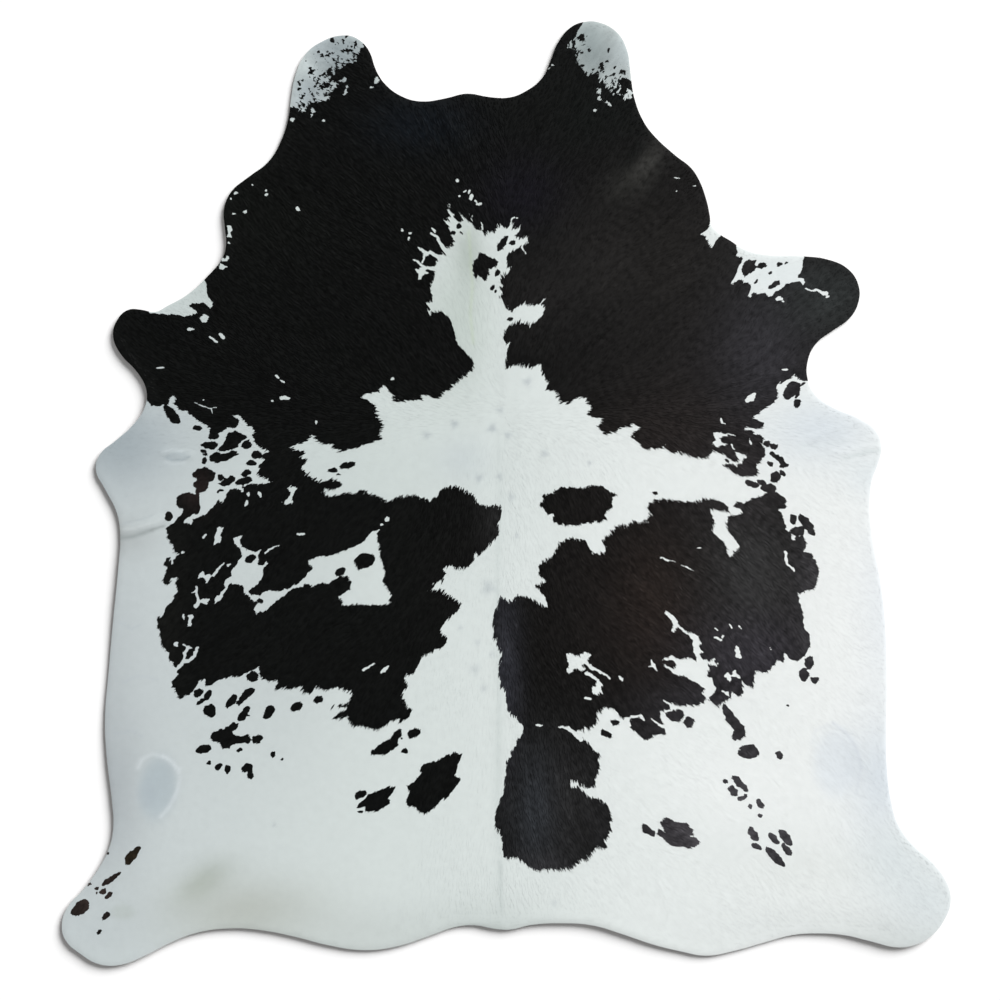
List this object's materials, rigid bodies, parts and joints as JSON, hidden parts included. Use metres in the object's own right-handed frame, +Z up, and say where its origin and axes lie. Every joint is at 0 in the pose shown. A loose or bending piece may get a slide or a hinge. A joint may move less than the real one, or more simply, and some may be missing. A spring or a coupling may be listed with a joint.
{
  "type": "cowhide rug",
  "caption": "Flat natural cowhide rug with its neck lobes, forelegs and hind legs, hair side up, in black and white patches.",
  "frame": {"origin": "on the floor under the middle of the hide's length and width", "axes": "+Z up out of the hair side, +Y along the spine towards the neck, +X to the right seen from above"},
  "size_m": [2.07, 2.2, 0.0065],
  "materials": {
    "hide": "short lying hair, off-white with near-black patches, on a suede underside"
  },
  "bodies": {
    "root": {"hide": "hide"}
  },
  "joints": []
}
